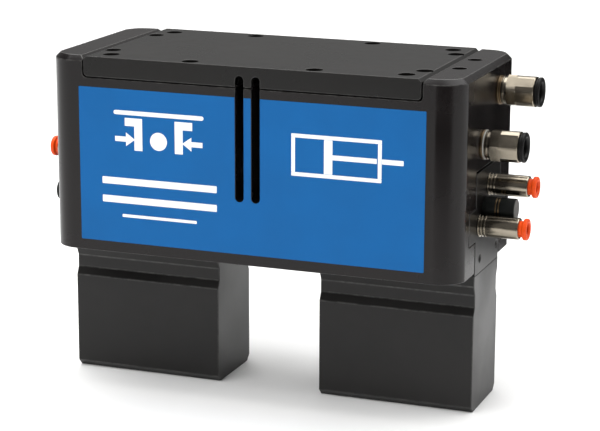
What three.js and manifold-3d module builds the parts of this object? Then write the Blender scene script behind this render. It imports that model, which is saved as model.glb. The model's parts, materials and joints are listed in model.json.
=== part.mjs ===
// Pneumatic two-jaw parallel gripper: a wide housing with two cylinders side by side, whose
// racks turn one pinion, so that the two T-shaped slides below close on the centre together.
// Millimetres, +Z up. X is the direction of jaw travel, and the front face looks along -Y.
// The origin is the centre of the mounting face on the top plate. The parts are drawn with z
// counted from the underside of the housing, and one group then lowers them all.

import * as THREE from 'three';
import { mergeVertices } from 'three/addons/utils/BufferGeometryUtils.js';
import Module from 'manifold-3d';

const wasm = await Module();
wasm.setup();

// ---------- driving dimensions ----------

const housing = { length: 160, depth: 72, height: 73.4, cornerRadius: 10.4, cornerInset: 10.1 };
const halfLength = housing.length / 2;
const halfDepth = housing.depth / 2;
const topChamfer = 1.9;

const plate = { halfLength: 65.05, underside: 65.9, gap: 0.5, seamChamfer: 1.2, rootRadius: 1.5 };
const pad = { halfLength: 64.3, halfDepth: 35 };

const slot = { offset: 3.15, width: 3.2, bottom: 23.6, top: 69.9, depth: 8 };
const label = { halfLength: 67.1, bottom: 4.1, top: 62.1, thickness: 0.15, cornerRadius: 0.3 };

const slide = { bottom: -1.3, top: 36.6, halfWidth: 15.4, wingHalfWidth: 23.7, wingBottom: 11.6 };
slide.wingTop = 23.7;
const channel = { roof: 37.4, halfWidth: 16.3, wingHalfWidth: 24.3, wingBottom: 11.3, wingTop: 24 };

const stroke = 18;
const jaw = { inner: 20.4, outer: 80, halfWidth: 15.7, bottom: -53.5, footChamfer: 2.3 };
const jawGroove = { top: -5.2, floorTop: -8.7, floorBottom: -13.3, bottom: -16.3, depth: 1.5 };
const jawScrew = { places: [35, 66], headRadius: 5, headHeight: 6, seat: 28, shankRadius: 3 };
jawScrew.tip = -14;

const cylinder = { offset: 12, height: 51, boreRadius: 9.6, left: -halfLength, right: 70 };
const plugLength = 10;
const piston = { radius: 9.3, length: 8, stubRadius: 4, sealWidth: 2.4, sealRadius: 9.5 };
const rodAssembly = { length: 120, radius: 7.5, endGap: 0.5 };
const drivePin = { place: 36, offset: 11, radius: 3, bottom: 28, top: 48 };

const gear = { module: 0.8, teeth: 16, backlash: 0.2, bottom: 46.5, top: 55.5 };
gear.pitchRadius = gear.module * gear.teeth / 2;
gear.pressureAngle = 20 * Math.PI / 180;
const gearPocket = { radius: 7.6, bottom: 44 };
const pinionShaft = { radius: 2.3, bottom: 40, top: 64.5 };

const cornerScrew = { x: 57.2, y: 28.4 };
const edgeScrew = { x: 24, y: 31.8 };
const plateScrew = { wellRadius: 3.1, seat: 68.2, headRadius: 2.75, headHeight: 3, shankRadius: 1.5 };
plateScrew.tip = 58;
const mountHole = { x: 61, y: 19.2, radius: 3.1, tapRadius: 2.5, bottom: 62.8 };
const postHole = { x: 71, y: 9.9, radius: 2.7, bottom: 68.5 };

const clearance = 0.1;
const round = 16;
const smooth = 24;

// ---------- geometry helpers ----------

const axisX = new THREE.Vector3(1, 0, 0);
const axisY = new THREE.Vector3(0, 1, 0);
const axisZ = new THREE.Vector3(0, 0, 1);

function toSolid(geometry) {
  const bare = geometry.clone();
  bare.deleteAttribute('normal');
  bare.deleteAttribute('uv');
  const merged = mergeVertices(bare, 1e-4);
  const vertProperties = new Float32Array(merged.attributes.position.array);
  const triVerts = new Uint32Array(merged.index.array);
  return new wasm.Manifold(new wasm.Mesh({ numProp: 3, vertProperties, triVerts }));
}

function toGeometry(solid) {
  const mesh = solid.getMesh();
  const geometry = new THREE.BufferGeometry();
  geometry.setAttribute('position', new THREE.BufferAttribute(mesh.vertProperties, 3));
  geometry.setIndex(new THREE.BufferAttribute(mesh.triVerts, 1));
  geometry.computeVertexNormals();
  return geometry;
}

function joined(...geometries) {
  return toGeometry(geometries.map(toSolid).reduce((sum, solid) => sum.add(solid)));
}

function cut(geometry, ...tools) {
  const left = tools.map(toSolid).reduce((rest, tool) => rest.subtract(tool), toSolid(geometry));
  return toGeometry(left);
}

function common(first, second) {
  return toGeometry(toSolid(first).intersect(toSolid(second)));
}

// A box between two corners.
function block(x0, x1, y0, y1, z0, z1) {
  const geometry = new THREE.BoxGeometry(x1 - x0, y1 - y0, z1 - z0);
  return geometry.translate((x0 + x1) / 2, (y0 + y1) / 2, (z0 + z1) / 2);
}

function rodAlongZ(x, y, z0, z1, radius, sides = round) {
  const geometry = new THREE.CylinderGeometry(radius, radius, z1 - z0, sides);
  return geometry.rotateX(Math.PI / 2).translate(x, y, (z0 + z1) / 2);
}

function rodAlongX(x0, x1, y, z, radius, sides = round) {
  const geometry = new THREE.CylinderGeometry(radius, radius, x1 - x0, sides);
  return geometry.rotateZ(-Math.PI / 2).translate((x0 + x1) / 2, y, z);
}

// A polygon or curved outline of the plane (y, z), extruded along X from x0 to x1.
function alongX(shape, x0, x1) {
  const geometry = new THREE.ExtrudeGeometry(shape, { depth: x1 - x0, bevelEnabled: false });
  geometry.applyMatrix4(new THREE.Matrix4().makeBasis(axisY, axisZ, axisX));
  return geometry.translate(x0, 0, 0);
}

// An outline of the plane (x, z), extruded along Y from y0 to y1.
function alongY(shape, y0, y1, curveSegments = 6) {
  const settings = { depth: y1 - y0, bevelEnabled: false, curveSegments };
  const geometry = new THREE.ExtrudeGeometry(shape, settings);
  geometry.applyMatrix4(new THREE.Matrix4().makeBasis(axisX, axisZ, axisY.clone().negate()));
  return geometry.translate(0, y1, 0);
}

function outline(points) {
  return new THREE.Shape(points.map(([u, v]) => new THREE.Vector2(u, v)));
}

// A turned piece: pairs of distance along +X and radius, turned round the X axis.
function turned(profile, sides = round) {
  const points = profile.map(([along, radius]) => new THREE.Vector2(radius, along));
  return new THREE.LatheGeometry(points, sides).rotateZ(-Math.PI / 2);
}

// A turned ring or tube, whose profile closes on itself.
function turnedRing(profile, sides = round) {
  return turned([...profile, profile[0]], sides);
}

// Turned pieces are drawn along +X; this turns them to point along +Z.
function upright(geometry) {
  return geometry.rotateY(-Math.PI / 2);
}

function hexPrismAlongX(x0, x1, acrossFlats, turn) {
  const corner = acrossFlats / Math.sqrt(3);
  const geometry = new THREE.CylinderGeometry(corner, corner, x1 - x0, 6);
  return geometry.rotateY(turn).rotateZ(-Math.PI / 2).translate((x0 + x1) / 2, 0, 0);
}

// ---------- materials ----------

const finishes = {
  anodised: { color: 0x4a4848, roughness: 0.45, metalness: 0.7 },
  anodisedGrey: { color: 0x6a6967, roughness: 0.42, metalness: 0.7 },
  nickel: { color: 0xb9ae9e, roughness: 0.25, metalness: 1 },
  steel: { color: 0x9c9c9c, roughness: 0.35, metalness: 1 },
  bronze: { color: 0x9a6f3a, roughness: 0.5, metalness: 1 },
  rubber: { color: 0x151515, roughness: 0.8, metalness: 0 },
  blackPlastic: { color: 0x1b1c1c, roughness: 0.5, metalness: 0 },
  orangePlastic: { color: 0xea5420, roughness: 0.45, metalness: 0 },
  blueFilm: { color: 0x246bb0, roughness: 0.35, metalness: 0 },
};

const gripper = new THREE.Group();
gripper.position.z = -housing.height;

function add(name, geometry, finish) {
  const mesh = new THREE.Mesh(geometry, new THREE.MeshStandardMaterial(finishes[finish]));
  mesh.name = name;
  gripper.add(mesh);
  return mesh;
}

// ---------- housing ----------

// The plan of the housing: each corner is an arc that meets the end face at a slight angle.
function housingPlan() {
  const { cornerRadius, cornerInset } = housing;
  const slope = Math.acos(cornerInset / cornerRadius);
  const cx = halfLength - cornerInset;
  const cy = halfDepth - cornerRadius;
  const plan = new THREE.Shape();
  plan.absarc(cx, cy, cornerRadius, slope, Math.PI / 2, false);
  plan.absarc(-cx, cy, cornerRadius, Math.PI / 2, Math.PI - slope, false);
  plan.absarc(-cx, -cy, cornerRadius, Math.PI + slope, 1.5 * Math.PI, false);
  plan.absarc(cx, -cy, cornerRadius, 1.5 * Math.PI, 2 * Math.PI - slope, false);
  plan.closePath();
  return plan;
}

function housingBlank() {
  const spare = 5;
  const settings = {
    depth: housing.height + spare - 2 * topChamfer,
    curveSegments: 8,
    bevelThickness: topChamfer,
    bevelSize: topChamfer,
    bevelOffset: -topChamfer,
    bevelSegments: 1,
  };
  const tall = new THREE.ExtrudeGeometry(housingPlan(), settings);
  tall.translate(0, 0, topChamfer - spare);
  return common(tall, block(-100, 100, -50, 50, 0, 100));
}

// The seat of the top plate between the two posts, seen from the front.
function seatOutline(halfWidth, floor, top, overshoot) {
  const { seamChamfer, rootRadius } = plate;
  const shape = new THREE.Shape();
  shape.moveTo(halfWidth + overshoot * seamChamfer, top);
  shape.lineTo(-halfWidth - overshoot * seamChamfer, top);
  shape.lineTo(-halfWidth, top - seamChamfer);
  shape.lineTo(-halfWidth, floor + rootRadius);
  shape.absarc(-halfWidth + rootRadius, floor + rootRadius, rootRadius, Math.PI, 1.5 * Math.PI);
  shape.absarc(halfWidth - rootRadius, floor + rootRadius, rootRadius, 1.5 * Math.PI, 2 * Math.PI);
  shape.lineTo(halfWidth, top - seamChamfer);
  shape.closePath();
  return shape;
}

function mirroredOutline(side) {
  return outline([...side, ...side.map(([y, z]) => [-y, z]).reverse()]);
}

function channelCut() {
  const { roof, halfWidth, wingHalfWidth, wingBottom, wingTop } = channel;
  const side = [
    [halfWidth, -5],
    [halfWidth, wingBottom],
    [wingHalfWidth, wingBottom],
    [wingHalfWidth, wingTop],
    [halfWidth, wingTop],
    [halfWidth, roof],
  ];
  return alongX(mirroredOutline(side), -halfLength - 5, halfLength + 5);
}

function sensorSlotCut(x) {
  const radius = slot.width / 2;
  const shape = new THREE.Shape();
  shape.absarc(x, slot.top - radius, radius, 0, Math.PI);
  shape.absarc(x, slot.bottom + radius, radius, Math.PI, 2 * Math.PI);
  shape.closePath();
  return alongY(shape, -halfDepth - 1, -halfDepth + slot.depth, 8);
}

function sensorSlotCuts() {
  return [sensorSlotCut(-slot.offset), sensorSlotCut(slot.offset)];
}

// Slot through which a drive pin reaches down from its rack rod, with room for the stroke.
function pinSlotCut(side) {
  const radius = drivePin.radius + 0.3;
  const y = -side * drivePin.offset;
  const near = side * (drivePin.place - stroke);
  const far = side * drivePin.place;
  const z0 = channel.roof - 1;
  const z1 = cylinder.height;
  const between = block(Math.min(near, far), Math.max(near, far), y - radius, y + radius, z0, z1);
  return [between, rodAlongZ(near, y, z0, z1, radius), rodAlongZ(far, y, z0, z1, radius)];
}

const plateScrewPlaces = [-1, 1].flatMap((sx) => [-1, 1].flatMap((sy) => [
  [sx * cornerScrew.x, sy * cornerScrew.y],
  [sx * edgeScrew.x, sy * edgeScrew.y],
]));
const mountHolePlaces = [-1, 1].flatMap((sx) => [
  [sx * mountHole.x, mountHole.y],
  [sx * mountHole.x, -mountHole.y],
]);

const portFittings = [
  { name: 'port_fitting_1', y: 12.5, z: 62.5, turn: 0.26 },
  { name: 'port_fitting_2', y: -7.7, z: 46, turn: 0.4 },
];
const portThread = { radius: 4.85, depth: 8, passageRadius: 1.5 };

function housingGeometry() {
  const seatFloor = plate.underside - plate.gap;
  const seat = seatOutline(plate.halfLength + plate.gap, seatFloor, housing.height, 1);
  const { offset, height, boreRadius, left, right } = cylinder;
  const cuts = [
    alongY(seat, -halfDepth - 5, halfDepth + 5),
    channelCut(),
    ...sensorSlotCuts(),
    ...pinSlotCut(1),
    ...pinSlotCut(-1),
    rodAlongX(left - 5, right, -offset, height, boreRadius, 32),
    rodAlongX(left - 5, right, offset, height, boreRadius, 32),
    rodAlongZ(0, 0, gearPocket.bottom, 80, gearPocket.radius),
    rodAlongZ(0, 0, pinionShaft.bottom - 0.5, 60, bush.lowerRadius + clearance, 20),
  ];
  for (const [x, y] of plateScrewPlaces) {
    cuts.push(rodAlongZ(x, y, plateScrew.tip - 1, 80, plateScrew.shankRadius + clearance, 12));
  }
  for (const [x, y] of mountHolePlaces) {
    cuts.push(rodAlongZ(x, y, mountHole.bottom, 80, mountHole.tapRadius, 16));
  }
  for (const side of [-1, 1]) {
    const y = side * postHole.y;
    cuts.push(rodAlongZ(postHole.x, y, postHole.bottom, 80, postHole.radius, smooth));
  }
  for (const { y, z } of portFittings) {
    const depthEnd = halfLength - portThread.depth;
    cuts.push(rodAlongX(depthEnd, halfLength + 5, y, z, portThread.radius, 24));
  }
  const { y, z } = portFittings[1];
  cuts.push(rodAlongX(right - 2, halfLength, y, z, portThread.passageRadius, 12));
  const withSeat = cut(housingBlank(), cuts[0]);
  const { halfLength: padX, halfDepth: padY } = pad;
  const restPad = block(-padX, padX, -padY, padY, 60, plate.underside);
  return cut(joined(withSeat, restPad), ...cuts.slice(1));
}

// ---------- top plate, its screws, the label and the set screw ----------

function topPlateGeometry() {
  const shape = seatOutline(plate.halfLength, plate.underside, housing.height, -1);
  const cuts = sensorSlotCuts();
  for (const [x, y] of plateScrewPlaces) {
    cuts.push(rodAlongZ(x, y, plateScrew.seat, 80, plateScrew.wellRadius, smooth));
    cuts.push(rodAlongZ(x, y, 60, 80, plateScrew.shankRadius + clearance, 12));
  }
  for (const [x, y] of mountHolePlaces) {
    cuts.push(rodAlongZ(x, y, 60, 80, mountHole.radius, smooth));
  }
  return cut(alongY(shape, -halfDepth, halfDepth), ...cuts);
}

// A socket head cap screw along +Z with its tip at the origin.
function capScrew(shankRadius, shankLength, headRadius, headHeight) {
  const top = shankLength + headHeight;
  const profile = [[0, 0], [0, shankRadius], [shankLength, shankRadius], [shankLength, headRadius]];
  const body = turned([...profile, [top, headRadius], [top, 0]], 12);
  const socket = hexPrismAlongX(top - headHeight * 0.5, top + 1, shankRadius * 1.66, 0);
  return upright(cut(body, socket));
}

function addPlateScrews() {
  const { shankRadius, seat, tip, headRadius, headHeight } = plateScrew;
  plateScrewPlaces.forEach(([x, y], index) => {
    const screw = capScrew(shankRadius, seat - tip, headRadius, headHeight);
    add(`plate_screw_${index + 1}`, screw, 'steel').position.set(x, y, tip);
  });
}

function labelGeometry() {
  const { halfLength: half, bottom, top, cornerRadius: radius, thickness } = label;
  const shape = new THREE.Shape();
  shape.absarc(half - radius, top - radius, radius, 0, Math.PI / 2);
  shape.absarc(-half + radius, top - radius, radius, Math.PI / 2, Math.PI);
  shape.absarc(-half + radius, bottom + radius, radius, Math.PI, 1.5 * Math.PI);
  shape.absarc(half - radius, bottom + radius, radius, 1.5 * Math.PI, 2 * Math.PI);
  shape.closePath();
  return cut(alongY(shape, -halfDepth - thickness, -halfDepth, 3), ...sensorSlotCuts());
}

function postSetScrewGeometry() {
  const radius = postHole.radius - clearance;
  const top = 3.4;
  const body = turned([[0, 0], [0, radius - 0.5], [0.5, radius], [top, radius], [top, 0]]);
  return upright(cut(body, hexPrismAlongX(top - 2.4, top + 1, 2.5, 0)));
}

// ---------- slides and jaws ----------

const slideFittings = {
  right: [
    { name: 'small_fitting_1', y: 1.7, z: 29.6 },
    { name: 'small_fitting_2', y: -10.3, z: 16.7 },
  ],
  left: [{ name: 'small_fitting_3', y: 3, z: 29.6 }],
};
const silencers = {
  right: { name: 'silencer_right', y: -4.2, z: 22.1 },
  left: { name: 'silencer_left', y: -4.5, z: 14.2 },
};
const smallThread = { radius: 2.5, depth: 6 };
const slideTappings = [
  { y: -9.2, z: 4.2 },
  { y: 12.8, z: 4.2 },
];

// side is 1 for the right slide and -1 for the left one, which is a half turn of the right one.
function slideGeometry(side) {
  const { bottom, top, halfWidth, wingHalfWidth, wingBottom, wingTop } = slide;
  const edge = 0.5;
  const profile = mirroredOutline([
    [halfWidth, bottom],
    [halfWidth, wingBottom],
    [wingHalfWidth - edge, wingBottom],
    [wingHalfWidth, wingBottom + edge],
    [wingHalfWidth, wingTop - edge],
    [wingHalfWidth - edge, wingTop],
    [halfWidth, wingTop],
    [halfWidth, top - edge],
    [halfWidth - edge, top],
  ]);
  const name = side > 0 ? 'right' : 'left';
  const { place, offset, bottom: pinBottom, radius: pinRadius } = drivePin;
  const cuts = [rodAlongZ(place, -offset, pinBottom - 0.5, 50, pinRadius + clearance)];
  for (const x of jawScrew.places) {
    cuts.push(rodAlongZ(x, 0, jawScrew.seat, 45, jawScrew.headRadius + 0.5, smooth));
    cuts.push(rodAlongZ(x, 0, -5, 45, jawScrew.shankRadius + 0.3));
  }
  for (const { y, z } of [...slideFittings[name], silencers[name]]) {
    cuts.push(rodAlongX(jaw.outer - smallThread.depth, 90, side * y, z, smallThread.radius, 16));
  }
  for (const { y, z } of slideTappings) {
    cuts.push(rodAlongX(jaw.outer - 8, 90, y, z, 1.25, 12));
    const mouth = turned([[-0.5, 0], [-0.5, 1.25], [0.01, 1.75], [0.5, 1.75], [0.5, 0]], 12);
    cuts.push(mouth.translate(jaw.outer, y, z));
  }
  const geometry = cut(alongX(profile, jaw.inner, jaw.outer), ...cuts);
  return side > 0 ? geometry : geometry.rotateZ(Math.PI);
}

function jawGeometry(side) {
  const { inner, outer, halfWidth, bottom, footChamfer } = jaw;
  const { depth } = jawGroove;
  const profile = mirroredOutline([
    [halfWidth - footChamfer, bottom],
    [halfWidth, bottom + footChamfer],
    [halfWidth, jawGroove.bottom],
    [halfWidth - depth, jawGroove.floorBottom],
    [halfWidth - depth, jawGroove.floorTop],
    [halfWidth, jawGroove.top],
    [halfWidth, slide.bottom],
  ]);
  const cuts = jawScrew.places.map((x) => (
    rodAlongZ(x, 0, jawScrew.tip - 1, 5, jawScrew.shankRadius + clearance)
  ));
  const geometry = cut(alongX(profile, inner, outer), ...cuts);
  return side > 0 ? geometry : geometry.rotateZ(Math.PI);
}

function addJawScrews(name, side) {
  const { shankRadius, headRadius, headHeight, seat, tip, places } = jawScrew;
  places.forEach((x, index) => {
    const screw = capScrew(shankRadius, seat - tip, headRadius, headHeight);
    add(`jaw_screw_${name}_${index + 1}`, screw, 'steel').position.set(side * x, 0, tip);
  });
}

// ---------- cylinders: rack rods, pistons, seals, drive pins and plugs ----------

// The involute function of the pressure angle.
function involute(angle) {
  return Math.tan(angle) - angle;
}

// The pinion has a gap towards each rack, so that both racks mesh with a tooth on x = 0.
function pinionGeometry() {
  const { module, teeth, pitchRadius, pressureAngle, backlash, bottom, top } = gear;
  const baseRadius = pitchRadius * Math.cos(pressureAngle);
  const rootRadius = pitchRadius - 1.25 * module;
  const tipRadius = pitchRadius + module;
  const steps = 3;
  const shape = new THREE.Shape();
  const corner = (radius, angle) => [radius * Math.cos(angle), radius * Math.sin(angle)];
  const halfTooth = (radius) => {
    const flank = Math.acos(Math.min(1, baseRadius / radius));
    const atPitch = Math.PI / (2 * teeth) - backlash / (2 * pitchRadius);
    return atPitch + involute(pressureAngle) - involute(flank);
  };
  const radii = [rootRadius];
  for (let step = 0; step <= steps; step += 1) {
    radii.push(baseRadius + (tipRadius - baseRadius) * step / steps);
  }
  for (let tooth = 0; tooth < teeth; tooth += 1) {
    const centre = Math.PI / 2 + (tooth + 0.5) * 2 * Math.PI / teeth;
    const rising = radii.map((radius) => corner(radius, centre - halfTooth(radius)));
    const falling = radii.map((radius) => corner(radius, centre + halfTooth(radius))).reverse();
    for (const [x, y] of [...rising, ...falling]) {
      if (tooth === 0 && x === rising[0][0]) {
        shape.moveTo(x, y);
      } else {
        shape.lineTo(x, y);
      }
    }
  }
  shape.closePath();
  const blank = new THREE.ExtrudeGeometry(shape, { depth: top - bottom, bevelEnabled: false });
  blank.translate(0, 0, bottom);
  return cut(blank, rodAlongZ(0, 0, bottom - 1, top + 1, pinionShaft.radius + 0.03, 24));
}

// Everything beyond the toothed line of a rack on the -Y side of the pinion, as a cutter. The
// teeth are numbered along X, and tooth 0 is centred on x = 0.
function rackCutter(firstTooth, lastTooth) {
  const { module, pitchRadius, pressureAngle, backlash, teeth } = gear;
  const pitch = 2 * Math.PI * pitchRadius / teeth;
  const tip = -pitchRadius + module;
  const root = -pitchRadius - 1.25 * module;
  const slope = Math.tan(pressureAngle);
  const halfPitchTooth = pitch / 4 - backlash / 2;
  const halfTip = halfPitchTooth - module * slope;
  const halfRoot = halfPitchTooth + 1.25 * module * slope;
  const start = (firstTooth - 0.5) * pitch;
  const end = (lastTooth + 0.5) * pitch;
  const points = [[end, 12], [start, 12], [start, root]];
  for (let tooth = firstTooth; tooth <= lastTooth; tooth += 1) {
    const centre = tooth * pitch;
    points.push([centre - halfRoot, root], [centre - halfTip, tip]);
    points.push([centre + halfTip, tip], [centre + halfRoot, root]);
  }
  points.push([end, root]);
  const shape = outline(points);
  const geometry = new THREE.ExtrudeGeometry(shape, { depth: 30, bevelEnabled: false });
  return geometry.translate(0, 0, cylinder.height - 15);
}

// Centre of the rack rod of the right jaw, with the jaws open.
const rodCentre = cylinder.right - rodAssembly.endGap - rodAssembly.length / 2;

function rackRodGeometry() {
  const { offset, height } = cylinder;
  const half = rodAssembly.length / 2;
  const shoulder = half - piston.length;
  const along = (reach, radius) => (
    rodAlongX(rodCentre - reach, rodCentre + reach, -offset, height, radius, smooth)
  );
  const body = joined(along(shoulder, rodAssembly.radius), along(half, piston.stubRadius));
  const { place, offset: pinOffset, top: pinTop, radius: pinRadius } = drivePin;
  const pinHole = rodAlongZ(place, -pinOffset, 30, pinTop + 0.5, pinRadius + clearance);
  return cut(body, rackCutter(-3, 10), pinHole);
}

function pistonGeometry() {
  const { radius, length, stubRadius, sealWidth } = piston;
  const grooveStart = (length - sealWidth) / 2 - clearance;
  const grooveEnd = (length + sealWidth) / 2 + clearance;
  const grooveRadius = radius - 1.8;
  return turnedRing([
    [0, stubRadius + clearance],
    [0, radius],
    [grooveStart, radius],
    [grooveStart, grooveRadius],
    [grooveEnd, grooveRadius],
    [grooveEnd, radius],
    [length, radius],
    [length, stubRadius + clearance],
  ]);
}

function pistonSealGeometry() {
  const { radius, length, sealWidth, sealRadius } = piston;
  const start = (length - sealWidth) / 2;
  const end = (length + sealWidth) / 2;
  return turnedRing([
    [start, radius - 1.7],
    [start, sealRadius],
    [end, sealRadius],
    [end, radius - 1.7],
  ]);
}

function cylinderPlugGeometry() {
  const radius = cylinder.boreRadius - clearance;
  const profile = [[0, 0], [0, radius - 1], [1, radius], [plugLength, radius], [plugLength, 0]];
  return cut(turned(profile, smooth), hexPrismAlongX(-1, 4, 8, 0));
}

// One jaw's moving set in its cylinder; the left set is the right set turned by half a turn.
function addDrive(name, side) {
  const turnAll = (geometry) => (side > 0 ? geometry : geometry.rotateZ(Math.PI));
  const { offset, height } = cylinder;
  const half = rodAssembly.length / 2;
  add(`rack_rod_${name}`, turnAll(rackRodGeometry()), 'steel');
  const starts = { inner: rodCentre - half, outer: rodCentre + half - piston.length };
  for (const [end, start] of Object.entries(starts)) {
    const place = (geometry) => turnAll(geometry.translate(start, -offset, height));
    add(`piston_${name}_${end}`, place(pistonGeometry()), 'anodisedGrey');
    add(`piston_seal_${name}_${end}`, place(pistonSealGeometry()), 'rubber');
  }
  const { place, offset: pinOffset, radius, bottom, top } = drivePin;
  const pin = rodAlongZ(place, -pinOffset, bottom, top, radius, smooth);
  add(`drive_pin_${name}`, turnAll(pin), 'steel');
}

const bush = { lowerRadius: 3.8, upperBottom: 58, upperTop: 65.4 };

function bushGeometry(outerRadius, bottom, top) {
  const inner = pinionShaft.radius + 0.06;
  const ring = [[bottom, inner], [bottom, outerRadius], [top, outerRadius], [top, inner]];
  return upright(turnedRing(ring, 20));
}

// ---------- fittings ----------

// Push-in fitting for 6 mm tube: hexagon with the outer half turned down, along +X from the face.
const portBody = { length: 13.8, acrossFlats: 11, hexStart: 3.3, hexEnd: 7, turnedRadius: 5.8 };
const portTube = { radius: 3.05, stop: 2.5 };
const portCollar = { sleeveRadius: 4.4, neckRadius: 4.8, neckEnd: 14.6, radius: 5.5, end: 15.8 };

function portFittingGeometry(turn) {
  const { length, acrossFlats, hexStart, hexEnd, turnedRadius } = portBody;
  const base = turned([
    [-6, 0],
    [-6, 4.7],
    [0, 4.7],
    [0, 5.4],
    [0.9, 5.4],
    [0.9, 4.9],
    [1.7, 4.9],
    [1.7, 5.4],
    [2.4, 5.4],
    [2.4, 4.9],
    [hexStart + 0.3, 4.9],
    [hexStart + 0.3, 0],
  ]);
  const wrench = common(hexPrismAlongX(hexStart, hexEnd, acrossFlats, turn), turned([
    [hexStart, 0],
    [hexStart, 5.7],
    [hexStart + 0.3, 6.3],
    [hexEnd, 6.3],
    [hexEnd, 0],
  ], 24));
  const barrel = common(hexPrismAlongX(hexEnd - 0.1, length, acrossFlats, turn), turned([
    [hexEnd - 0.1, 0],
    [hexEnd - 0.1, turnedRadius],
    [length - 0.3, turnedRadius],
    [length, turnedRadius - 0.3],
    [length, 0],
  ], 24));
  const bore = turned([
    [-7, 0],
    [-7, 1.6],
    [portTube.stop, 1.6],
    [portTube.stop, portTube.radius],
    [6, portTube.radius],
    [6, portCollar.sleeveRadius + 0.2],
    [length - 1, portCollar.sleeveRadius + 0.2],
    [length - 1, portCollar.neckRadius + 0.2],
    [length + 1, portCollar.neckRadius + 0.2],
    [length + 1, 0],
  ]);
  return cut(joined(base, wrench, barrel), bore);
}

function portCollarGeometry() {
  const { sleeveRadius, neckRadius, neckEnd, radius, end } = portCollar;
  const length = portBody.length;
  return turnedRing([
    [7, 3.3],
    [7, sleeveRadius],
    [length - 0.3, sleeveRadius],
    [length - 0.3, neckRadius],
    [neckEnd, neckRadius],
    [neckEnd, radius],
    [end - 0.3, radius],
    [end, radius - 0.3],
    [end, 4],
    [end - 0.7, 3.3],
  ]);
}

// Push-in fitting for 4 mm tube: a plain round barrel on a ringed base.
const smallBody = { length: 15, radius: 4 };
const smallCollar = { sleeveRadius: 2.9, neckEnd: 16.4, radius: 3.95, end: 18.1 };

function smallFittingGeometry() {
  const { length, radius } = smallBody;
  const body = turned([
    [-4.5, 0],
    [-4.5, 2.4],
    [0, 2.4],
    [0, 4.2],
    [0.9, 4.2],
    [0.9, 3.6],
    [1.7, 3.6],
    [1.7, 4.05],
    [2.6, 4.05],
    [2.6, 3.6],
    [3.4, 3.6],
    [3.4, radius],
    [length - 0.3, radius],
    [length, radius - 0.3],
    [length, 0],
  ]);
  const bore = turned([
    [-6, 0],
    [-6, 1.2],
    [4, 1.2],
    [4, 2.05],
    [8, 2.05],
    [8, smallCollar.sleeveRadius + 0.2],
    [length + 1, smallCollar.sleeveRadius + 0.2],
    [length + 1, 0],
  ]);
  return cut(body, bore);
}

function smallCollarGeometry() {
  const { sleeveRadius, neckEnd, radius, end } = smallCollar;
  return turnedRing([
    [9.2, 2.1],
    [9.2, sleeveRadius],
    [neckEnd, sleeveRadius],
    [neckEnd, radius - 0.3],
    [neckEnd + 0.2, radius],
    [end - 0.3, radius],
    [end, radius - 0.3],
    [end, 2.7],
    [end - 0.5, 2.1],
  ]);
}

function silencerGeometry() {
  return turned([
    [-4, 0],
    [-4, 2.4],
    [0, 2.4],
    [0, 3.85],
    [1, 3.85],
    [1.3, 4],
    [4.6, 4],
    [4.6, 3.85],
    [6.2, 3.85],
    [6.2, 4],
    [11.7, 4],
    [11.9, 3.8],
    [11.9, 0],
  ]);
}

function addAlongX(name, geometry, finish, side, y, z) {
  if (side < 0) {
    geometry.rotateZ(Math.PI);
  }
  add(name, geometry, finish).position.set(side * halfLength, y, z);
}

function addPortFittings() {
  for (const { name, y, z, turn } of portFittings) {
    addAlongX(name, portFittingGeometry(turn), 'nickel', 1, y, z);
    addAlongX(`${name}_collar`, portCollarGeometry(), 'blackPlastic', 1, y, z);
  }
}

function addSlideFittings(name, side) {
  for (const fitting of slideFittings[name]) {
    addAlongX(fitting.name, smallFittingGeometry(), 'nickel', side, fitting.y, fitting.z);
    const collar = `${fitting.name}_collar`;
    addAlongX(collar, smallCollarGeometry(), 'orangePlastic', side, fitting.y, fitting.z);
  }
  const silencer = silencers[name];
  addAlongX(silencer.name, silencerGeometry(), 'blackPlastic', side, silencer.y, silencer.z);
}

// ---------- assembly ----------

add('housing', housingGeometry(), 'anodised');
add('top_plate', topPlateGeometry(), 'anodised');
addPlateScrews();
add('front_label', labelGeometry(), 'blueFilm');
const setScrew = add('post_set_screw', postSetScrewGeometry(), 'steel');
setScrew.position.set(postHole.x, postHole.y, postHole.bottom);

for (const [name, side] of [['right', 1], ['left', -1]]) {
  add(`slide_${name}`, slideGeometry(side), 'anodisedGrey');
  add(`jaw_${name}`, jawGeometry(side), 'anodisedGrey');
  addJawScrews(name, side);
  addDrive(name, side);
  addSlideFittings(name, side);
}

for (const [name, side] of [['front', -1], ['back', 1]]) {
  const plug = add(`cylinder_plug_${name}`, cylinderPlugGeometry(), 'anodised');
  plug.position.set(-halfLength, side * cylinder.offset, cylinder.height);
}

add('pinion', pinionGeometry(), 'steel');
const { radius: shaftRadius, bottom: shaftBottom, top: shaftTop } = pinionShaft;
add('pinion_shaft', rodAlongZ(0, 0, shaftBottom, shaftTop, shaftRadius, smooth), 'steel');
const lowerBush = bushGeometry(bush.lowerRadius, shaftBottom, gearPocket.bottom - 0.2);
add('pinion_bush_lower', lowerBush, 'bronze');
const upperBushRadius = gearPocket.radius - 3 * clearance;
const upperBush = bushGeometry(upperBushRadius, bush.upperBottom, bush.upperTop);
add('pinion_bush_upper', upperBush, 'bronze');

addPortFittings();

export default gripper;
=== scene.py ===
"""Looks of a pneumatic two-jaw parallel gripper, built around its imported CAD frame.

Metres, +Z up. The origin is the centre of the mounting face on the top plate, X is the jaw travel
and -Y is the labelled front.
"""

import json
from math import acos, cos, pi, radians, sin, sqrt

import bmesh
import bpy
from mathutils import Euler, Matrix, Vector


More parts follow.
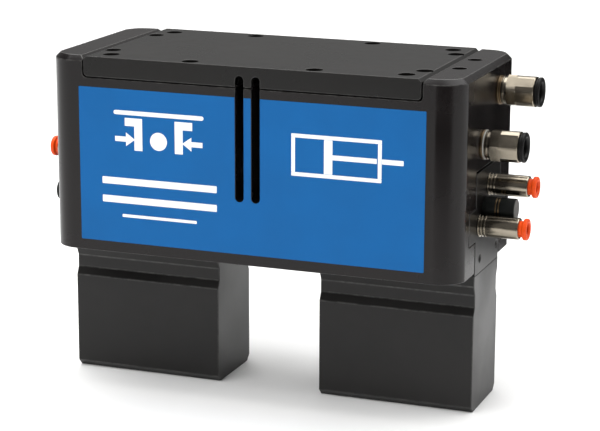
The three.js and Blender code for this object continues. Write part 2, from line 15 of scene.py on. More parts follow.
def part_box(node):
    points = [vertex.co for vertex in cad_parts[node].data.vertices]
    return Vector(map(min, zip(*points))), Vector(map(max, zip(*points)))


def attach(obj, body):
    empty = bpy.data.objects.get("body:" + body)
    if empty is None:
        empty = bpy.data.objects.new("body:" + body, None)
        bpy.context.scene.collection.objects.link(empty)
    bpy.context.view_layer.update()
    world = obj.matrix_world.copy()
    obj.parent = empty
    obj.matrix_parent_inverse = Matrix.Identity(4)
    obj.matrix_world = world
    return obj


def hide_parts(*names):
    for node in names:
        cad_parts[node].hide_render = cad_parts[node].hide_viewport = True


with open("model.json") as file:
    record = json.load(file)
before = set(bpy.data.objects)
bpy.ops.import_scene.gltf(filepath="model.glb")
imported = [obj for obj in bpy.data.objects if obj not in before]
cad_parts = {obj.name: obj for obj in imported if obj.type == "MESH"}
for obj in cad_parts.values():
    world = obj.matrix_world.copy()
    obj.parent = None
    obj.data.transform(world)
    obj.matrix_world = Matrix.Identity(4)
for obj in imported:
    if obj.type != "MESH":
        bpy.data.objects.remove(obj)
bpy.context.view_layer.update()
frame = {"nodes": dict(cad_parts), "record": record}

MM = 0.001
nodes = frame["nodes"]


# ---------- sizes read from the frame ----------

housing_low, housing_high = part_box("housing")
floor_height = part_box("jaw_right")[0].z
underside = housing_low.z
right_end = housing_high.x
left_end = housing_low.x


def centre(node):
    low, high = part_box(node)
    return (low + high) / 2


# ---------- materials ----------

class Shader:
    """A Principled material with short calls for the nodes that the finishes share."""

    def __init__(self, name, base, roughness, metallic=0.0, ior=1.45):
        self.material = bpy.data.materials.new(name)
        self.material.use_nodes = True
        self.tree = self.material.node_tree
        self.surface = self.tree.nodes["Principled BSDF"]
        self.surface.inputs["Base Color"].default_value = (*base, 1)
        self.surface.inputs["Roughness"].default_value = roughness
        self.surface.inputs["Metallic"].default_value = metallic
        self.surface.inputs["IOR"].default_value = ior
        self.base = base
        self.place = self.tree.nodes.new("ShaderNodeTexCoord").outputs["Object"]
        self.normal = None

    def link(self, source, target):
        self.tree.links.new(source, target)

    def noise(self, scale, detail=3.0, stretch=(1, 1, 1), offset=(0, 0, 0)):
        """Noise of the given scale per metre, stretched along the axes, as an output from 0 to 1."""
        mapping = self.tree.nodes.new("ShaderNodeMapping")
        mapping.inputs["Scale"].default_value = stretch
        mapping.inputs["Location"].default_value = offset
        self.link(self.place, mapping.inputs["Vector"])
        noise = self.tree.nodes.new("ShaderNodeTexNoise")
        noise.inputs["Scale"].default_value = scale
        noise.inputs["Detail"].default_value = detail
        self.link(mapping.outputs["Vector"], noise.inputs["Vector"])
        return noise.outputs["Fac"]

    def spread(self, value, low, high, start=0.35, end=0.65):
        """Maps a value between start and end to the range from low to high."""
        node = self.tree.nodes.new("ShaderNodeMapRange")
        node.inputs["From Min"].default_value = start
        node.inputs["From Max"].default_value = end
        node.inputs["To Min"].default_value = low
        node.inputs["To Max"].default_value = high
        self.link(value, node.inputs["Value"])
        return node.outputs["Result"]

    def blend(self, first, second, share):
        """A colour between two colours; share is a number or an output."""
        mix = self.tree.nodes.new("ShaderNodeMix")
        mix.data_type = "RGBA"
        for socket, colour in ((mix.inputs[6], first), (mix.inputs[7], second)):
            if isinstance(colour, tuple):
                socket.default_value = (*colour, 1)
            else:
                self.link(colour, socket)
        self.link(share, mix.inputs[0])
        return mix.outputs[2]

    def vary_roughness(self, value, low, high):
        self.link(self.spread(value, low, high), self.surface.inputs["Roughness"])

    def vary_colour(self, value, darker, lighter):
        low = tuple(part * darker for part in self.base)
        high = tuple(part * lighter for part in self.base)
        self.link(self.blend(low, high, self.spread(value, 0, 1)), self.surface.inputs["Base Color"])

    def bump(self, value, strength, height):
        """Adds relief; height is the depth in metres of the full range of the value."""
        node = self.tree.nodes.new("ShaderNodeBump")
        node.inputs["Strength"].default_value = strength
        node.inputs["Distance"].default_value = height
        self.link(value, node.inputs["Height"])
        if self.normal is not None:
            self.link(self.normal, node.inputs["Normal"])
        self.normal = node.outputs["Normal"]
        self.link(self.normal, self.surface.inputs["Normal"])


def anodised(name, base, roughness, grain, seed, grain_height=4e-6, tool_lines=0.0):
    """Hard anodised aluminium: a dark glassy coat with cutter marks stretched along one way."""
    shader = Shader(name, base, roughness, ior=1.33)
    marks = shader.noise(900, 4, grain, (seed, 0, 0))
    clouds = shader.noise(35, 5, (1, 1, 1), (0, seed, 0))
    specks = shader.noise(5200, 2, (1, 1, 1), (0, 0, seed))
    shader.vary_colour(clouds, 0.75, 1.3)
    shader.vary_roughness(clouds, roughness - 0.05, roughness + 0.06)
    shader.bump(marks, 0.5, grain_height)
    shader.bump(specks, 0.35, 2e-6)
    if tool_lines:
        lines = shader.noise(1100, 1, (0.004, 0.004, 1), (0, 0, seed))
        shader.bump(lines, 0.6, tool_lines)
    return shader.material


def worn_and_highlit_edge(name, base, roughness):
    """The broken edges of an anodised block, where the coat is thinner and rubbed, and whose colour
    is kept lighter than the coat as a painted edge highlight too.
    """
    shader = Shader(name, base, roughness)
    rubs = shader.noise(420, 4, (1, 1, 1))
    shader.vary_colour(rubs, 0.5, 1.9)
    shader.vary_roughness(rubs, roughness - 0.08, roughness + 0.12)
    return shader.material


def turned_metal(name, base, roughness, ring_scale=2600, metallic=1.0):
    """Bright metal turned round the X axis: fine rings across X, and faint stains."""
    shader = Shader(name, base, roughness, metallic)
    rings = shader.noise(ring_scale, 2, (1, 0.02, 0.02))
    stains = shader.noise(260, 4)
    shader.vary_colour(stains, 0.92, 1.05)
    shader.vary_roughness(stains, roughness - 0.03, roughness + 0.04)
    shader.bump(rings, 0.25, 3e-6)
    return shader.material


def moulded(name, base, roughness, scatter=0.0, grain=2400, ior=1.45):
    """Moulded plastic with a fine spark-eroded grain."""
    shader = Shader(name, base, roughness, ior=ior)
    fine = shader.noise(grain, 3)
    broad = shader.noise(240, 3)
    shader.vary_colour(broad, 0.88, 1.1)
    shader.vary_roughness(fine, roughness - 0.06, roughness + 0.08)
    shader.bump(fine, 0.3, 6e-6)
    shader.surface.inputs["Subsurface Weight"].default_value = scatter
    shader.surface.inputs["Subsurface Radius"].default_value = (1.2 * MM, 0.5 * MM, 0.2 * MM)
    return shader.material


def printed_film(name, base, roughness):
    """A printed polyester film: a smooth, faintly pebbled gloss over even ink."""
    shader = Shader(name, base, roughness, ior=1.2)
    pebbles = shader.noise(1500, 2)
    tint = shader.noise(60, 4)
    shader.vary_colour(tint, 0.97, 1.03)
    shader.vary_roughness(tint, roughness - 0.03, roughness + 0.04)
    shader.bump(pebbles, 0.15, 4e-6)
    return shader.material


ALONG_X = (0.015, 1, 1)
ALONG_Z = (1, 1, 0.015)

housing_coat = anodised("housing_coat", (0.006, 0.0046, 0.0046), 0.24, ALONG_X, 1.0, tool_lines=7e-6)
plate_coat = anodised("plate_coat", (0.0055, 0.005, 0.0045), 0.3, (0.4, 1, 1), 2.0, 2.5e-6)
slide_coat = anodised("slide_coat", (0.0065, 0.006, 0.0055), 0.3, ALONG_Z, 3.0)
jaw_coat = anodised("jaw_coat", (0.0115, 0.0108, 0.0104), 0.34, (1, 1, 1), 4.0, 5e-6)
# Edge material: rubbed coat, whose light base colour is also a painted highlight along every
# bevelled edge.
edge_wear_and_highlight = worn_and_highlit_edge("edge_wear_and_highlight", (0.022, 0.021, 0.02), 0.36)
nickel = turned_metal("nickel", (0.3, 0.265, 0.21), 0.22)
seal_ring = moulded("seal_ring", (0.42, 0.41, 0.38), 0.45)
zinc_steel = turned_metal("zinc_steel", (0.42, 0.42, 0.41), 0.32, 1800)
black_steel = turned_metal("black_steel", (0.035, 0.035, 0.037), 0.38, 1800)
ground_steel = turned_metal("ground_steel", (0.52, 0.52, 0.52), 0.25)
bronze = turned_metal("bronze", (0.5, 0.32, 0.15), 0.42)
brass = turned_metal("brass", (0.2, 0.14, 0.08), 0.34)
piston_metal = turned_metal("piston_metal", (0.55, 0.55, 0.55), 0.35)
rubber = moulded("rubber", (0.012, 0.012, 0.012), 0.6)
black_plastic = moulded("black_plastic", (0.007, 0.007, 0.007), 0.4, ior=1.25)
orange_plastic = moulded("orange_plastic", (0.78, 0.075, 0.008), 0.42, scatter=0.05, ior=1.3)
silencer_plastic = moulded("silencer_plastic", (0.009, 0.01, 0.0095), 0.5, ior=1.25)
silencer_face = moulded("silencer_face", (0.12, 0.12, 0.115), 0.6, grain=1100)
blue_film = printed_film("blue_film", (0.0075, 0.106, 0.318), 0.42)
white_ink = printed_film("white_ink", (0.86, 0.87, 0.88), 0.4)


# ---------- dressing the CAD nodes ----------

FLAT_ANGLE = 0.4
EDGE_ANGLE = 17


def smooth_mesh(mesh, angle=32):
    mesh.polygons.foreach_set("use_smooth", [True] * len(mesh.polygons))
    mesh.set_sharp_from_angle(angle=radians(angle))


def dress(node, material, edge_width=0.0):
    """Gives a CAD node its finish, and rounds its sharp edges by edge_width metres."""
    piece = nodes[node]
    mesh = piece.data
    mesh.materials.clear()
    mesh.materials.append(material)
    if "custom_normal" in mesh.attributes:
        mesh.attributes.remove(mesh.attributes["custom_normal"])
    smooth_mesh(mesh)
    if edge_width:
        mesh.materials.append(edge_wear_and_highlight)
        mesh.attributes.remove(mesh.attributes["sharp_edge"])
        weld = piece.modifiers.new("weld", "WELD")
        weld.merge_threshold = 0.001 * MM
        flat = piece.modifiers.new("flat_faces", "DECIMATE")
        flat.decimate_type = "DISSOLVE"
        flat.angle_limit = radians(FLAT_ANGLE)
        bevel = piece.modifiers.new("broken_edges", "BEVEL")
        bevel.width = edge_width
        bevel.segments = 2
        bevel.limit_method = "ANGLE"
        bevel.angle_limit = radians(EDGE_ANGLE)
        # The bevel faces take the edge material: real wear plus a painted light highlight line along
        # the edges.
        bevel.material = 1
        bevel.use_clamp_overlap = False
        shading = piece.modifiers.new("flat_shading", "WEIGHTED_NORMAL")
        shading.mode = "FACE_AREA"
        shading.weight = 100
        shading.keep_sharp = False


dress("housing", housing_coat, 0.25 * MM)
dress("top_plate", plate_coat, 0.22 * MM)
for side in ("right", "left"):
    dress(f"slide_{side}", slide_coat, 0.2 * MM)
    dress(f"jaw_{side}", jaw_coat, 0.35 * MM)
    dress(f"rack_rod_{side}", ground_steel)
    dress(f"drive_pin_{side}", ground_steel)
    for end in ("inner", "outer"):
        dress(f"piston_{side}_{end}", piston_metal)
        dress(f"piston_seal_{side}_{end}", rubber)
for end in ("front", "back"):
    dress(f"cylinder_plug_{end}", plate_coat, 0.25 * MM)
dress("pinion", ground_steel)
dress("pinion_shaft", ground_steel)
dress("pinion_bush_lower", bronze)
dress("pinion_bush_upper", bronze)


# ---------- turned pieces ----------

def softened(profile, size, closed=False, steps=3):
    """The profile with each corner replaced by a short curve that starts size before it."""
    count = len(profile)
    result = []
    for index, point in enumerate(profile):
        at_end = not closed and index in (0, count - 1)
        if at_end or callable(point[1]):
            result.append(point)
            continue
        before = profile[index - 1]
        after = profile[(index + 1) % count]
        if callable(before[1]) or callable(after[1]):
            result.append(point)
            continue
        here, first, last = Vector(point), Vector(before), Vector(after)
        reach_back = min(size, (first - here).length * 0.45)
        reach_on = min(size, (last - here).length * 0.45)
        start = here + (first - here).normalized() * reach_back
        end = here + (last - here).normalized() * reach_on
        for step in range(steps + 1):
            t = step / steps
            bend = start * (1 - t) ** 2 + here * 2 * t * (1 - t) + end * t ** 2
            result.append((bend.x, bend.y))
    return result


def hexagon(across_flats, limit, turn=0.0):
    """The radius of a hexagon by angle, with its corners cut off by a circle."""
    def radius(angle):
        from_flat = (angle - turn) % (pi / 3) - pi / 6
        return min(across_flats / 2 / cos(from_flat), limit)
    return radius


def hexagon_angles(across_flats, limit, turn):
    """Angles round a hexagon with one at each line where a flat meets the cut-off corner."""
    flat = acos(across_flats / 2 / limit)
    within = [flat * part / 3 for part in (-3, -2, -1, 0, 1, 2, 3)]
    corner = [flat + (pi / 3 - 2 * flat) * part / 4 for part in (1, 2, 3)]
    return [turn + pi / 6 + side * pi / 3 + angle for side in range(6) for angle in within + corner]


def turned(name, profile, material, closed=False, sides=72, angles=None):
    """A mesh turned round +X: pairs of (distance, radius) in millimetres, from x = 0.

    A radius may be a function of the angle. An open profile starts and ends on the axis.
    """
    angles = angles or [2 * pi * step / sides for step in range(sides)]
    sides = len(angles)
    rings = []
    vertices = []
    for along, radius in profile:
        if not callable(radius) and radius == 0:
            rings.append([len(vertices)])
            vertices.append((along * MM, 0, 0))
            continue
        ring = []
        for angle in angles:
            length = radius(angle) if callable(radius) else radius
            ring.append(len(vertices))
            vertices.append((along * MM, length * cos(angle) * MM, length * sin(angle) * MM))
        rings.append(ring)
    faces = []
    pairs = list(zip(rings, rings[1:]))
    if closed:
        pairs.append((rings[-1], rings[0]))
    for first, second in pairs:
        for step in range(sides):
            following = (step + 1) % sides
            if len(first) == 1:
                faces.append((first[0], second[step], second[following]))
            elif len(second) == 1:
                faces.append((first[following], first[step], second[0]))
            else:
                faces.append((first[following], first[step], second[step], second[following]))
    return new_piece(name, vertices, faces, material, crease=20)


def new_piece(name, vertices, faces, *materials, crease=32):
    """A mesh with outward faces, whose edges sharper than crease degrees stay sharp."""
    mesh = bpy.data.meshes.new(name)
    mesh.from_pydata(vertices, [], faces)
    mesh.validate()
    shape = bmesh.new()
    shape.from_mesh(mesh)
    bmesh.ops.recalc_face_normals(shape, faces=shape.faces)
    shape.to_mesh(mesh)
    shape.free()
    for material in materials:
        mesh.materials.append(material)
    smooth_mesh(mesh, crease)
    piece = bpy.data.objects.new(name, mesh)
    bpy.context.collection.objects.link(piece)
    return piece


def body_of(node):
    bodies = frame["record"]["behaviour"]["bodies"]
    return next(name for name, members in bodies.items() if node in members)


def mount_piece(piece, node, start, facing, replaces=True):
    """Puts a turned piece at start, facing along a unit vector, on the body of a CAD node."""
    turn = Vector((1, 0, 0)).rotation_difference(Vector(facing)).to_matrix().to_4x4()
    if tuple(facing) == (-1, 0, 0):
        turn = Matrix.Rotation(pi, 4, "Z")
    piece.data.transform(Matrix.Translation(start) @ turn)
    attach(piece, body_of(node))
    if replaces:
        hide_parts(node)


# ---------- fittings ----------

def port_body(name, turn):
    """A push-in fitting for 6 mm tube: ringed neck, hexagon and turned-down barrel."""
    flats = 11.0
    full = 6.3
    barrel = 5.8

    def wide(limit):
        return hexagon(flats, limit, turn)

    profile = [
        (-6, 0),
        (-6, 4.3),
        (-5.5, 4.7),
        (0.6, 4.7),
        (0.6, 4.9),
        (1.6, 4.9),
        (1.7, 5.3),
        (2.1, 5.35),
        (2.2, 4.9),
        (3.2, 4.9),
        (3.3, 5.4),
        (3.35, wide(5.7)),
        (3.5, wide(6.05)),
        (3.7, wide(full)),
        (6.95, wide(full)),
        (7.05, wide(barrel)),
        (13.45, wide(barrel)),
        (13.7, wide(barrel - 0.2)),
        (13.8, 5.35),
        (13.8, 5.1),
        (13.6, 5.0),
        (12.8, 5.0),
        (12.8, 4.6),
        (6.2, 4.6),
        (6.0, 3.05),
        (2.5, 3.05),
        (2.5, 1.6),
        (-5.9, 1.6),
        (-5.9, 0),
    ]
    angles = hexagon_angles(flats, barrel, turn)
    return turned(name, softened(profile, 0.06), nickel, angles=angles)


def port_ring(name, start, end, radius, material):
    """A sealing washer round the neck of a port fitting."""
    edge = 0.12
    profile = [
        (start, 4.85),
        (start, radius - edge),
        (start + edge, radius),
        (end - edge, radius),
        (end, radius - edge),
        (end, 4.85),
    ]
    return turned(name, softened(profile, 0.05, closed=True), material, closed=True)


def port_collar(name):
    """The black release collar: neck, rim with a groove behind it, and a flared mouth."""
    profile = [
        (7, 3.3),
        (7, 4.4),
        (13.6, 4.4),
        (13.6, 4.8),
        (14.45, 4.8),
        (14.5, 5.3),
        (14.7, 5.48),
        (14.9, 5.25),
        (15.05, 5.25),
        (15.15, 5.48),
        (15.5, 5.5),
        (15.8, 5.2),
        (15.8, 4.1),
        (15.6, 3.7),
        (15.0, 3.3),
    ]
    return turned(name, softened(profile, 0.12, closed=True), black_plastic, closed=True)


def small_body(name):
    """A push-in fitting for 4 mm tube: ringed base and a plain bright barrel."""
    profile = [
        (-4.5, 0),
        (-4.5, 2.1),
        (-4.1, 2.4),
        (0.02, 2.4),
        (0.02, 4.05),
        (0.15, 4.2),
        (0.4, 4.2),
        (0.5, 4.05),
        (0.55, 3.55),
        (1.05, 3.55),
        (1.15, 3.95),
        (1.25, 4.05),
        (1.45, 4.05),
        (1.55, 3.95),
        (1.6, 3.6),
        (2.0, 3.6),
        (2.1, 3.95),
        (2.25, 4.0),
        (2.8, 4.0),
        (2.88, 3.86),
        (3.0, 3.86),
        (3.08, 4.0),
        (14.55, 4.0),
        (14.9, 3.8),
        (15.0, 3.6),
        (15.0, 3.25),
        (14.8, 3.1),
        (8, 3.1),
        (8, 2.05),
        (4, 2.05),
        (4, 1.2),
        (-4.4, 1.2),
        (-4.4, 0),
    ]
    return turned(name, softened(profile, 0.06), nickel)


def small_collar(name):
    """The orange release collar: a slim neck and a rounded rim."""
    profile = [
        (9.2, 2.1),
        (9.2, 2.9),
        (16.1, 2.95),
        (16.35, 3.2),
        (16.45, 3.7),
        (16.7, 3.95),
        (17.6, 3.95),
        (17.95, 3.8),
        (18.1, 3.45),
        (18.1, 2.8),
        (17.9, 2.4),
        (17.4, 2.1),
    ]
    return turned(name, softened(profile, 0.14, closed=True), orange_plastic, closed=True)


def grip_ring(name, start, end, inner, outer):
    """The ring of steel teeth that holds the tube, deep inside a fitting."""
    profile = [(start, outer), (start, inner + 0.1), (end, inner), (end, outer)]
    return turned(name, softened(profile, 0.04, closed=True), zinc_steel, closed=True)


def silencer_parts(name):
    """The silencer: base, two brass lines with a groove between them, cap and porous face."""
    base = [
        (-4, 0),
        (-4, 2.1),
        (-3.7, 2.4),
        (0.02, 2.4),
        (0.02, 3.7),
        (0.2, 3.85),
        (1, 3.85),
        (1.3, 4),
        (4.45, 4),
        (4.6, 3.85),
        (4.6, 0),
    ]
    band = [(4.5, 0), (4.5, 3.9), (4.65, 3.98), (4.95, 3.98), (5.1, 3.86), (5.1, 0)]
    groove = [(5.05, 0), (5.05, 3.84), (5.65, 3.84), (5.65, 0)]
    rim = [(5.6, 0), (5.6, 3.9), (5.72, 3.98), (6.05, 3.98), (6.2, 3.88), (6.2, 0)]
    cap = [(6.15, 0), (6.15, 3.84), (6.35, 4), (11.55, 4), (11.72, 3.93), (11.75, 3.8), (11.75, 0)]
    face = [(11.5, 0), (11.5, 3.7), (11.82, 3.72), (11.9, 3.6), (11.86, 0)]
    return [
        (turned(f"{name}_base", softened(base, 0.1), silencer_plastic), True),
        (turned(f"{name}_band", softened(band, 0.05), brass), False),
        (turned(f"{name}_groove", softened(groove, 0.05), silencer_plastic), False),
        (turned(f"{name}_rim", softened(rim, 0.05), brass), False),
        (turned(f"{name}_cap", softened(cap, 0.1), silencer_plastic), False),
        (turned(f"{name}_face", softened(face, 0.05), silencer_face), False),
    ]


def fitting_start(node, side):
    """The point where a fitting's axis meets the end face that it stands on."""
    middle = centre(node)
    return Vector((right_end if side > 0 else left_end, middle.y, middle.z))


def build_port_fitting(node, turn, rings):
    collar = f"{node}_collar"
    start = fitting_start(collar, 1)
    ahead = (1, 0, 0)
    mount_piece(port_body(f"{node}_body", turn), node, start, ahead)
    for number, ring in enumerate(rings):
        washer = port_ring(f"{node}_washer_{number + 1}", *ring)
        mount_piece(washer, node, start, ahead, replaces=False)
    grip = grip_ring(f"{node}_grip", 6.23, 6.37, 3.0, 4.5)
    mount_piece(grip, node, start, ahead, replaces=False)
    mount_piece(port_collar(f"{collar}_rim"), collar, start, ahead)


def build_small_fitting(node, side):
    collar = f"{node}_collar"
    start = fitting_start(collar, side)
    ahead = (side, 0, 0)
    mount_piece(small_body(f"{node}_body"), node, start, ahead)
    grip = grip_ring(f"{node}_grip", 8.03, 8.17, 1.95, 3.0)
    mount_piece(grip, node, start, ahead, replaces=False)
    mount_piece(small_collar(f"{collar}_rim"), collar, start, ahead)


def build_silencer(node, side):
    start = fitting_start(node, side)
    for piece, stands_for_node in silencer_parts(node):
        mount_piece(piece, node, start, (side, 0, 0), replaces=stands_for_node)


build_port_fitting("port_fitting_1", -0.26, [(0.02, 0.6, 5.4, brass), (0.85, 1.25, 5.25, brass)])
build_port_fitting("port_fitting_2", -0.12, [(0.02, 0.6, 5.4, brass), (0.75, 1.2, 5.4, seal_ring)])
build_small_fitting("small_fitting_1", 1)
build_small_fitting("small_fitting_2", 1)
build_small_fitting("small_fitting_3", -1)
build_silencer("silencer_right", 1)
build_silencer("silencer_left", -1)


# ---------- screws ----------

def cap_screw(name, shank_radius, shank_length, head_radius, head_height, socket, material):
    """A socket head cap screw from its tip along +X, with a grooved thread and a hexagon socket."""
    top = shank_length + head_height
    floor = top - head_height * 0.5
    profile = [(0, 0), (0, shank_radius * 0.8), (shank_radius * 0.3, shank_radius)]
    pitch = shank_radius / 3
    turns = int((shank_length * 0.7) / pitch)
    for turn in range(1, turns):
        along = shank_radius * 0.3 + turn * pitch
        profile += [(along, shank_radius * 0.88), (along + pitch / 2, shank_radius)]
    hexagonal = hexagon(socket, socket)
    profile += [
        (shank_length, shank_radius),
        (shank_length, head_radius - 0.1),
        (shank_length + 0.15, head_radius),
        (top - 0.35, head_radius),
        (top - 0.1, head_radius - 0.15),
        (top, head_radius - 0.4),
        (top, hexagon(socket * 1.12, socket)),
        (top - 0.12, hexagonal),
        (floor, hexagonal),
        (floor, 0),
    ]
    return turned(name, profile, material, sides=48)


def set_screw(name, radius, length, socket):
    hexagonal = hexagon(socket, socket)
    profile = [(0, 0), (0, radius - 0.5), (0.5, radius)]
    for turn in range(3):
        along = 0.9 + 0.7 * turn
        profile += [(along, radius - 0.25), (along + 0.35, radius)]
    profile += [(length - 0.3, radius), (length, radius - 0.3)]
    profile += [(length, hexagonal), (length - 2.2, hexagonal), (length - 2.2, 0)]
    return turned(name, profile, zinc_steel, sides=48)


def build_screw(node, shank_radius, head_radius, head_height, socket, material):
    low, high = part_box(node)
    middle = centre(node)
    length = (high.z - low.z) / MM - head_height
    tip = Vector((middle.x, middle.y, low.z))
    sizes = (shank_radius, length, head_radius, head_height, socket)
    piece = cap_screw(f"{node}_turned", *sizes, material)
    mount_piece(piece, node, tip, (0, 0, 1))


def build_set_screw(node):
    low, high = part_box(node)
    middle = centre(node)
    radius = (high.x - low.x) / 2 / MM
    length = (high.z - low.z) / MM
    piece = set_screw(f"{node}_turned", radius, length, 2.5)
    mount_piece(piece, node, Vector((middle.x, middle.y, low.z)), (0, 0, 1))


for number in range(1, 9):
    build_screw(f"plate_screw_{number}", 1.5, 2.75, 3.0, 2.5, black_steel)
for side in ("right", "left"):
    for number in (1, 2):
        build_screw(f"jaw_screw_{side}_{number}", 3.0, 5.0, 6.0, 5.0, zinc_steel)
build_set_screw("post_set_screw")


# ---------- label ----------

def arc(x, z, radius, start, end, steps=8):
    """Points of an arc in the plane (x, z); angles in degrees."""
    angles = [radians(start + (end - start) * step / steps) for step in range(steps + 1)]
    return [(x + radius * cos(angle), z + radius * sin(angle)) for angle in angles]


def flat_piece(name, outline, near, far, material, bevel=0.0):
    """A thin plate with an outline of the plane (x, z), between two depths y."""
    count = len(outline)
    vertices = [(x, y, z) for y in (near, far) for x, z in outline]
    sides = [(i, (i + 1) % count, count + (i + 1) % count, count + i) for i in range(count)]
    faces = [tuple(range(count)), tuple(reversed(range(count, 2 * count))), *sides]
    piece = new_piece(name, vertices, faces, material)
    if bevel:
        modifier = piece.modifiers.new("edge", "BEVEL")
        modifier.width = bevel
        modifier.segments = 2
        modifier.limit_method = "ANGLE"
        modifier.angle_limit = radians(50)
        modifier.harden_normals = True
    return piece


label_low, label_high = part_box("front_label")
SLOT_OFFSET = 3.15 * MM
SLOT_HALF = 1.6 * MM
SLOT_FLOOR = underside + 23.6 * MM
LABEL_CORNER = 0.3 * MM


def label_outline():
    """The film with its two round-ended notches for the sensor slots, counter-clockwise."""
    r = LABEL_CORNER
    x0, x1 = label_low.x, label_high.x
    z0, z1 = label_low.z, label_high.z
    half = SLOT_HALF + 0.15 * MM
    points = arc(x0 + r, z0 + r, r, 180, 270, 4) + arc(x1 - r, z0 + r, r, 270, 360, 4)
    points += arc(x1 - r, z1 - r, r, 0, 90, 4)
    for x in (SLOT_OFFSET, -SLOT_OFFSET):
        points.append((x + half, z1))
        points += arc(x, SLOT_FLOOR + half, half, 0, -180, 12)
        points.append((x - half, z1))
    return points + arc(x0 + r, z1 - r, r, 90, 180, 4)


def build_label():
    near = label_low.y + 0.03 * MM
    film = flat_piece("front_label_film", label_outline(), near, label_high.y, blue_film, 0.04 * MM)
    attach(film, "gripper_body")
    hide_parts("front_label")


INK_NEAR = label_low.y
INK_FAR = label_low.y + 0.06 * MM


def ink(name, outline):
    piece = flat_piece(name, outline, INK_NEAR, INK_FAR, white_ink)
    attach(piece, "gripper_body")


def ink_bar(name, x, z, width, height, radius=None):
    """A bar of ink with rounded ends, centred on (x, z); all in millimetres above the underside."""
    radius = min(width, height) / 2 if radius is None else radius
    x0, x1 = (x - width / 2 + radius) * MM, (x + width / 2 - radius) * MM
    z0 = underside + (z - height / 2 + radius) * MM
    z1 = underside + (z + height / 2 - radius) * MM
    r = radius * MM
    points = arc(x0, z0, r, 180, 270, 4) + arc(x1, z0, r, 270, 360, 4)
    points += arc(x1, z1, r, 0, 90, 4) + arc(x0, z1, r, 90, 180, 4)
    ink(name, points)


def ink_shape(name, points):
    ink(name, [(x * MM, underside + z * MM) for x, z in points])


def ink_arrow(name, x, z, length, way):
    """A plain arrow of ink that points along X, with its tip at x."""
    head, half_head, half_shaft = length * 0.45, length * 0.32, length * 0.12
    tail = x - way * length
    neck = x - way * head
    points = [(x, z), (neck, z + half_head), (neck, z + half_shaft), (tail, z + half_shaft)]
    points += [(tail, z - half_shaft), (neck, z - half_shaft), (neck, z - half_head)]
    ink_shape(name, points if way < 0 else points[::-1])


def ink_jaw(name, x, z, way):
    """The outline of one gripping jaw: a bar that steps in towards the work."""
    points = [(0, 5), (7, 5), (7, 2), (3.2, 2), (3.2, -7), (0, -7)]
    placed = [(x + way * u, z + v) for u, v in points]
    ink_shape(name, placed if way < 0 else placed[::-1])


def build_symbols():
    """Plain technical symbols: a gripper closing on a round part, and a two-way cylinder."""
    ink_jaw("ink_jaw_left", -41.5, 46.5, -1)
    ink_jaw("ink_jaw_right", -28.5, 46.5, 1)
    ink_shape("ink_work", [(x, z) for x, z in arc(-35, 43.5, 3.4, 0, 345, 23)])
    ink_arrow("ink_arrow_left", -44.5, 43.5, 8, 1)
    ink_arrow("ink_arrow_right", -25.5, 43.5, 8, -1)
    ink_bar("ink_beam", -35, 53.4, 36, 1.6)
    for number, (z, width) in enumerate(((27.5, 46), (20.5, 46), (14.5, 30))):
        ink_bar(f"ink_rule_{number + 1}", -35, z, width, 2.6 if number < 2 else 1.1, 0.3)
    for number, z in enumerate((50, 36)):
        ink_bar(f"ink_barrel_{number + 1}", 34, z, 34, 1.4, 0.2)
    for number, x in enumerate((17.7, 50.3)):
        ink_bar(f"ink_barrel_{number + 3}", x, 43, 1.4, 12.59, 0.2)
    ink_bar("ink_piston", 31, 43, 3.2, 12.4, 0.2)
    ink_bar("ink_rod", 40.9, 43, 16.6, 1.8, 0.2)
    ink_bar("ink_rod_end", 55.1, 43, 8, 1.8, 0.2)


build_label()
build_symbols()


# ---------- stage, light and camera ----------

def build_floor():
    vertices = [(-4, -2.5, 0), (4, -2.5, 0), (4, 6, 0), (-4, 6, 0)]
    floor = new_piece("studio_floor", vertices, [(0, 1, 2, 3)])
    floor.location.z = floor_height
    shader = Shader("studio_floor_paint", (0.86, 0.86, 0.855), 0.6)
    tone = shader.noise(3, 2)
    shader.vary_colour(tone, 0.99, 1.01)
    floor.data.materials.append(shader.material)


def build_backdrop():
    """A pale round wall that is seen from every side but lights nothing."""
    radius, height, count = 1.7, 2.4, 64
    angles = [2 * pi * step / count for step in range(count)]
    ring = [(radius * cos(angle), radius * sin(angle)) for angle in angles]
    vertices = [(x, y, z) for z in (-0.01, height) for x, y in ring]
    faces = [(i, (i + 1) % count, count + (i + 1) % count, count + i) for i in range(count)]
    paint = Shader("backdrop_paint", (0, 0, 0), 1.0)
    paint.surface.inputs["Emission Color"].default_value = (1, 1, 1, 1)
    paint.surface.inputs["Emission Strength"].default_value = 1.0
    wall = new_piece("studio_backdrop", vertices, faces, paint.material)
    wall.location.z = floor_height
    wall.visible_diffuse = False
    wall.visible_glossy = False
    wall.visible_transmission = False
    wall.visible_shadow = False


def aim(item, target):
    item.rotation_euler = (Vector(target) - item.location).to_track_quat("-Z", "Y").to_euler()


def soft_light(name, place, target, width, height, power):
    data = bpy.data.lights.new(name, "AREA")
    data.shape = "RECTANGLE"
    data.size = width
    data.size_y = height
    data.energy = power
    light = bpy.data.objects.new(name, data)
    light.location = place
    bpy.context.collection.objects.link(light)
    aim(light, target)
    return light


def build_lights():
    soft_light("overhead", (0, 0.45, 1.35), (0, 0.05, -0.1), 2.4, 1.5, 36)
    soft_light("right_side", (1.3, 0.5, 0.4), (0, 0, -0.05), 0.5, 0.7, 2)
    fill = soft_light("front_fill", (-0.4, -0.9, 1.2), (0, -0.1, -0.1), 1.5, 1.5, 27)
    fill.visible_glossy = False


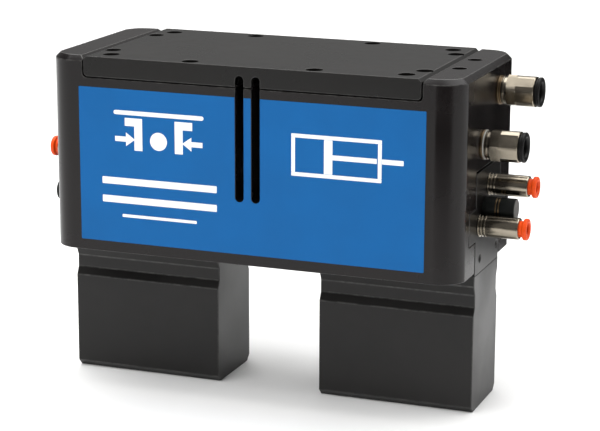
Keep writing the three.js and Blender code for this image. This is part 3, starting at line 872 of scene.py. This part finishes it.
def reflected_card(name, place, turn, half_width, height):
    """A black card standing on the floor that shows only in reflections."""
    paint = Shader(f"{name}_black", (0.004, 0.004, 0.004), 0.9)
    sides = (-half_width, half_width)
    vertices = [(sides[0], 0, 0), (sides[1], 0, 0), (sides[1], 0, height), (sides[0], 0, height)]
    card = new_piece(name, vertices, [(0, 1, 2, 3)], paint.material)
    card.rotation_euler.z = radians(turn)
    card.location = (*place, floor_height + 0.002)
    card.visible_camera = False
    card.visible_diffuse = False
    card.visible_shadow = False


def build_flags():
    reflected_card("front_card", (0.182, -0.315), 21, 0.2, 0.14)
    reflected_card("end_card", (0.16, 0.2), 0, 0.08, 0.17)


def build_world():
    """A studio with a pale ceiling towards the back and dim walls."""
    world = bpy.data.worlds.new("studio")
    bpy.context.scene.world = world
    world.use_nodes = True
    tree = world.node_tree
    way = tree.nodes.new("ShaderNodeTexCoord").outputs["Generated"]
    split = tree.nodes.new("ShaderNodeSeparateXYZ")
    tree.links.new(way, split.inputs["Vector"])
    sum_node = tree.nodes.new("ShaderNodeMath")
    sum_node.operation = "MULTIPLY_ADD"
    sum_node.inputs[1].default_value = 0.6
    tree.links.new(split.outputs["Y"], sum_node.inputs[0])
    tree.links.new(split.outputs["Z"], sum_node.inputs[2])
    ramp = tree.nodes.new("ShaderNodeMapRange")
    ramp.interpolation_type = "SMOOTHSTEP"
    ramp.inputs["From Min"].default_value = 0.7
    ramp.inputs["From Max"].default_value = 1.15
    ramp.inputs["To Min"].default_value = 0.24
    ramp.inputs["To Max"].default_value = 0.8
    tree.links.new(sum_node.outputs["Value"], ramp.inputs["Value"])
    tree.links.new(ramp.outputs["Result"], tree.nodes["Background"].inputs["Strength"])
    tree.nodes["Background"].inputs["Color"].default_value = (1, 0.995, 0.985, 1)


def build_camera():
    data = bpy.data.cameras.new("camera")
    data.lens = 123.96
    data.sensor_width = 36
    data.clip_start = 0.01
    camera = bpy.data.objects.new("camera", data)
    camera.location = (0.27542, -0.70907, 0.1253)
    camera.rotation_euler = Euler((radians(90 - 13.883), radians(-0.196), radians(20.803)), "XYZ")
    bpy.context.collection.objects.link(camera)
    bpy.context.scene.camera = camera


build_floor()
build_backdrop()
build_lights()
build_flags()
build_world()
build_camera()
bpy.context.scene.view_settings.view_transform = "Standard"
